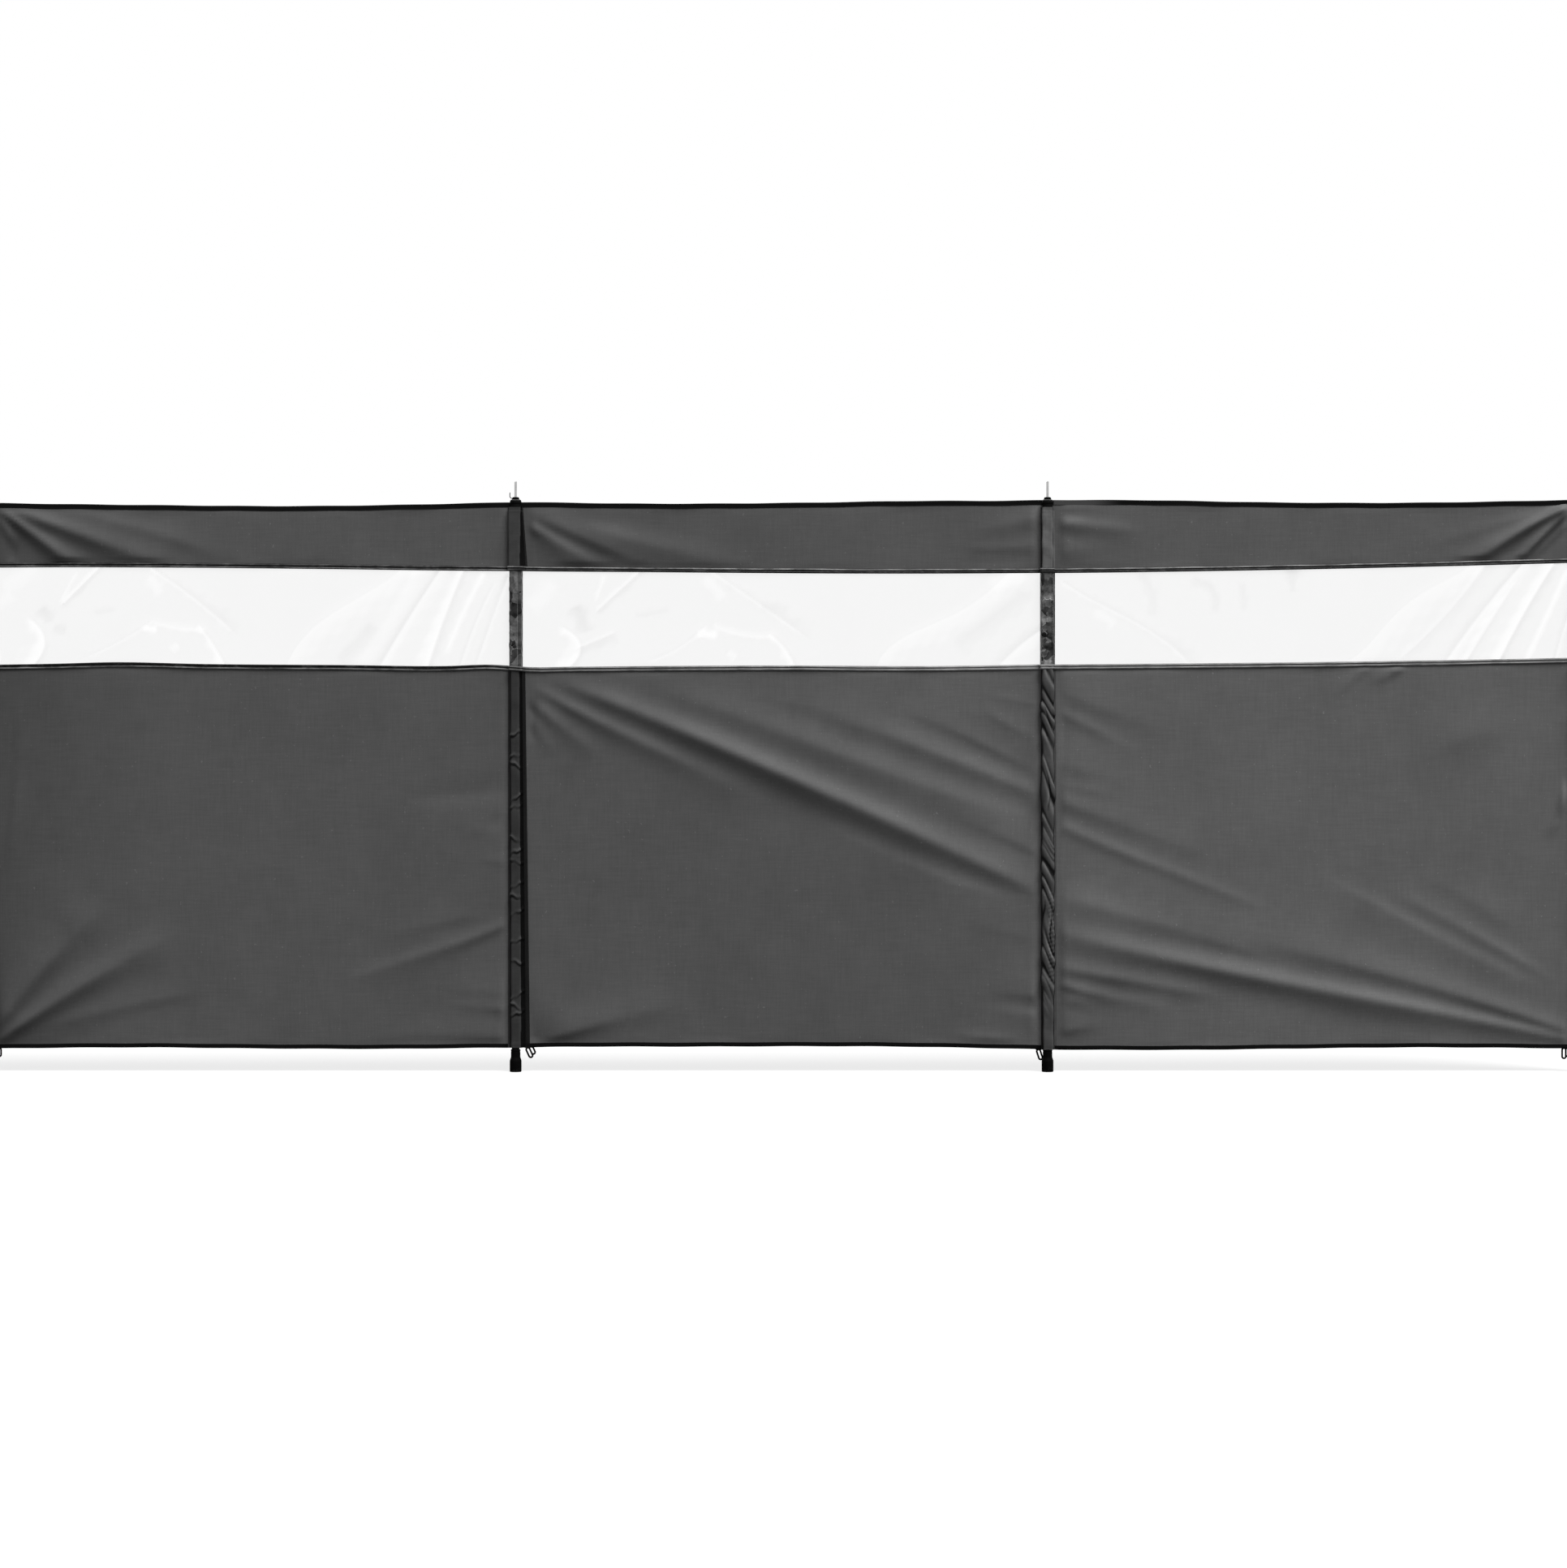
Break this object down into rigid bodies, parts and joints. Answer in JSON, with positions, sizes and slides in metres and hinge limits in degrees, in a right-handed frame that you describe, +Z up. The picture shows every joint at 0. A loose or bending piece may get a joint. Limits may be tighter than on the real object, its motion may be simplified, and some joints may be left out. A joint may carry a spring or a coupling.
{
  "type": "beach windbreak",
  "caption": "Upright beach windbreak of dark cloth bays with a clear window strip, carried by steel poles in sewn sleeves, with top pins, flared feet and peg loops.",
  "frame": {"origin": "centre of the underside of the left end post's foot, on the ground", "axes": "+X along the windbreak to the right seen from the sleeve side, +Y away from the sleeve side, +Z up the posts"},
  "size_m": [4.1454, 0.031, 1.5162],
  "materials": {
    "cloth": "matte dark grey woven polyester with a coated back",
    "clear_film": "clear soft film, glossy, with faint creases",
    "binding": "black ribbed binding tape",
    "sleeve_cloth": "dark grey woven polyester, slightly shiny where it is drawn over the pole",
    "sleeve_window_cloth": "dark grey coated cloth, shiny and mottled",
    "webbing": "black webbing with a rimmed eyelet",
    "pole_steel": "drawn steel tube",
    "pin_steel": "turned, plated steel",
    "foot_plastic": "black moulded plastic",
    "loop_cord": "black elastic cord"
  },
  "bodies": {
    "root": {"top_panel_1": "cloth", "window_1": "clear_film", "lower_panel_1": "cloth", "top_panel_2": "cloth", "window_2": "clear_film", "lower_panel_2": "cloth", "top_panel_3": "cloth", "window_3": "clear_film", "lower_panel_3": "cloth", "top_hem": "binding", "bottom_hem": "binding", "window_top_binding": "binding", "window_bottom_binding": "binding", "sleeve_top_1": "sleeve_cloth", "sleeve_window_1": "sleeve_window_cloth", "sleeve_low_1": "sleeve_cloth", "pole_1": "pole_steel", "spigot_1": "pin_steel", "top_tab_1": "webbing", "foot_1": "foot_plastic", "peg_loop_1": "loop_cord", "sleeve_top_2": "sleeve_cloth", "sleeve_window_2": "sleeve_window_cloth", "sleeve_low_2": "sleeve_cloth", "pole_2": "pole_steel", "spigot_2": "pin_steel", "top_tab_2": "webbing", "foot_2": "foot_plastic", "peg_loop_2": "loop_cord", "sleeve_top_3": "sleeve_cloth", "sleeve_window_3": "sleeve_window_cloth", "sleeve_low_3": "sleeve_cloth", "pole_3": "pole_steel", "spigot_3": "pin_steel", "top_tab_3": "webbing", "foot_3": "foot_plastic", "peg_loop_3": "loop_cord", "sleeve_top_4": "sleeve_cloth", "sleeve_window_4": "sleeve_window_cloth", "sleeve_low_4": "sleeve_cloth", "pole_4": "pole_steel", "spigot_4": "pin_steel", "top_tab_4": "webbing", "foot_4": "foot_plastic", "peg_loop_4": "loop_cord"}
  },
  "joints": []
}
